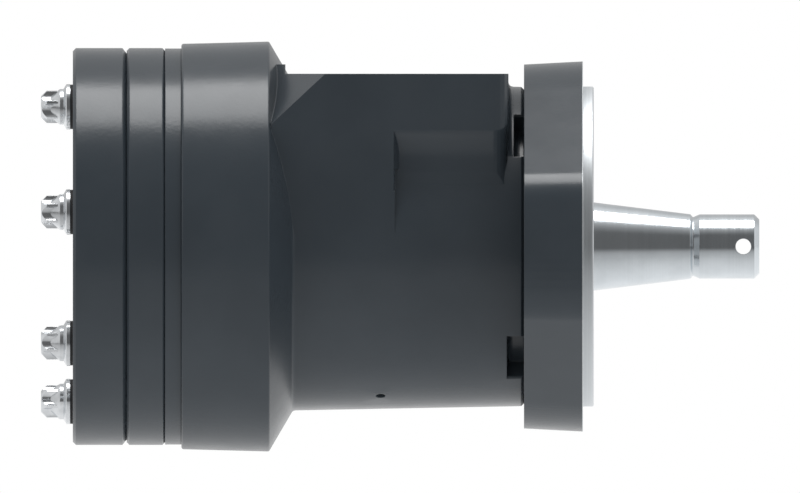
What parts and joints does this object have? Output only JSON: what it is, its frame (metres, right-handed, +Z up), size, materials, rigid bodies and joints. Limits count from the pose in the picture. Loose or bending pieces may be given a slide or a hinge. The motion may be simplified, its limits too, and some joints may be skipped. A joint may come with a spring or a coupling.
{
  "type": "orbital hydraulic motor",
  "caption": "Orbital hydraulic motor with a roller gerotor, a two-bolt flange, a pilot, two top ports and a tapered, threaded output shaft.",
  "frame": {"origin": "centre of the mounting face of the flange, on the shaft axis", "axes": "+X along the shaft axis towards its threaded end, +Z up through the ports, +Y along the flange ears"},
  "size_m": [0.1853, 0.1322, 0.1058],
  "materials": {
    "dark_paint": "satin dark paint",
    "flange_paint": "satin dark paint, bare machined pilot",
    "bright_steel": "turned",
    "screw_steel": "oiled",
    "plated_steel": "zinc plated",
    "black_rubber": "matt",
    "bearing_steel": "ground"
  },
  "bodies": {
    "root": {"housing": "dark_paint", "mounting_flange": "flange_paint", "flange_screws": "screw_steel", "end_cover": "dark_paint", "cover_bolts": "plated_steel", "cover_washers": "black_rubber", "gerotor_ring": "dark_paint", "spacer_plate": "dark_paint", "needle_shell": "bearing_steel", "thrust_race_front": "bearing_steel", "shaft_seal_case": "bearing_steel", "shaft_seal_lip": "black_rubber", "dust_seal": "black_rubber", "oring_front": "black_rubber", "oring_housing": "black_rubber", "oring_plate": "black_rubber", "oring_cover": "black_rubber", "drain_plug": "plated_steel"},
    "shaft": {"output_shaft": "bright_steel", "shaft_key": "bearing_steel", "thrust_race_rear": "bearing_steel"},
    "needle_set": {"needle_cage": "bearing_steel", "needle_rollers": "bearing_steel"},
    "thrust_set": {"thrust_cage": "bearing_steel", "thrust_rollers": "bearing_steel"},
    "orbit": {"link_spacer": "bearing_steel"},
    "rotor": {"gerotor_rotor": "bearing_steel"},
    "link": {"drive_link": "bearing_steel"},
    "roller_1": {"roller_1": "bearing_steel"},
    "roller_2": {"roller_2": "bearing_steel"},
    "roller_3": {"roller_3": "bearing_steel"},
    "roller_4": {"roller_4": "bearing_steel"},
    "roller_5": {"roller_5": "bearing_steel"},
    "roller_6": {"roller_6": "bearing_steel"},
    "roller_7": {"roller_7": "bearing_steel"}
  },
  "joints": [
    {"name": "shaft_spin", "type": "hinge", "parent": "root", "child": "shaft", "pos_m": [0, 0, 0], "axis": [1, 0, 0], "continuous": true},
    {"name": "needle_set_spin", "type": "hinge", "parent": "root", "child": "needle_set", "pos_m": [-0.02525, 0, 0], "axis": [1, 0, 0], "continuous": true},
    {"name": "thrust_set_spin", "type": "hinge", "parent": "root", "child": "thrust_set", "pos_m": [-0.03723, 0, 0], "axis": [1, 0, 0], "continuous": true},
    {"name": "rotor_orbit", "type": "hinge", "parent": "root", "child": "orbit", "pos_m": [-0.11275, 0, 0], "axis": [1, 0, 0], "continuous": true},
    {"name": "rotor_spin", "type": "hinge", "parent": "orbit", "child": "rotor", "pos_m": [-0.11275, 0, 0.0026], "axis": [1, 0, 0], "continuous": true},
    {"name": "link_spin", "type": "hinge", "parent": "orbit", "child": "link", "pos_m": [-0.057, 0, 0], "axis": [0.9989, 0, -0.0466], "continuous": true},
    {"name": "roller_1_spin", "type": "hinge", "parent": "root", "child": "roller_1", "pos_m": [-0.11275, 0, 0.031], "axis": [1, 0, 0], "continuous": true},
    {"name": "roller_2_spin", "type": "hinge", "parent": "root", "child": "roller_2", "pos_m": [-0.11275, -0.02424, 0.01933], "axis": [1, 0, 0], "continuous": true},
    {"name": "roller_3_spin", "type": "hinge", "parent": "root", "child": "roller_3", "pos_m": [-0.11275, -0.03022, -0.0069], "axis": [1, 0, 0], "continuous": true},
    {"name": "roller_4_spin", "type": "hinge", "parent": "root", "child": "roller_4", "pos_m": [-0.11275, -0.01345, -0.02793], "axis": [1, 0, 0], "continuous": true},
    {"name": "roller_5_spin", "type": "hinge", "parent": "root", "child": "roller_5", "pos_m": [-0.11275, 0.01345, -0.02793], "axis": [1, 0, 0], "continuous": true},
    {"name": "roller_6_spin", "type": "hinge", "parent": "root", "child": "roller_6", "pos_m": [-0.11275, 0.03022, -0.0069], "axis": [1, 0, 0], "continuous": true},
    {"name": "roller_7_spin", "type": "hinge", "parent": "root", "child": "roller_7", "pos_m": [-0.11275, 0.02424, 0.01933], "axis": [1, 0, 0], "continuous": true}
  ],
  "couplings": [
    {"joint": "needle_set_spin", "follows": "shaft_spin", "ratio": 0.4558},
    {"joint": "thrust_set_spin", "follows": "shaft_spin", "ratio": 0.5},
    {"joint": "rotor_orbit", "follows": "shaft_spin", "ratio": -6},
    {"joint": "rotor_spin", "follows": "shaft_spin", "ratio": 7},
    {"joint": "link_spin", "follows": "shaft_spin", "ratio": 7},
    {"joint": "roller_1_spin", "follows": "shaft_spin", "ratio": -4.6158},
    {"joint": "roller_2_spin", "follows": "shaft_spin", "ratio": -4.6158},
    {"joint": "roller_3_spin", "follows": "shaft_spin", "ratio": -4.6158},
    {"joint": "roller_4_spin", "follows": "shaft_spin", "ratio": -4.6158},
    {"joint": "roller_5_spin", "follows": "shaft_spin", "ratio": -4.6158},
    {"joint": "roller_6_spin", "follows": "shaft_spin", "ratio": -4.6158},
    {"joint": "roller_7_spin", "follows": "shaft_spin", "ratio": -4.6158}
  ]
}
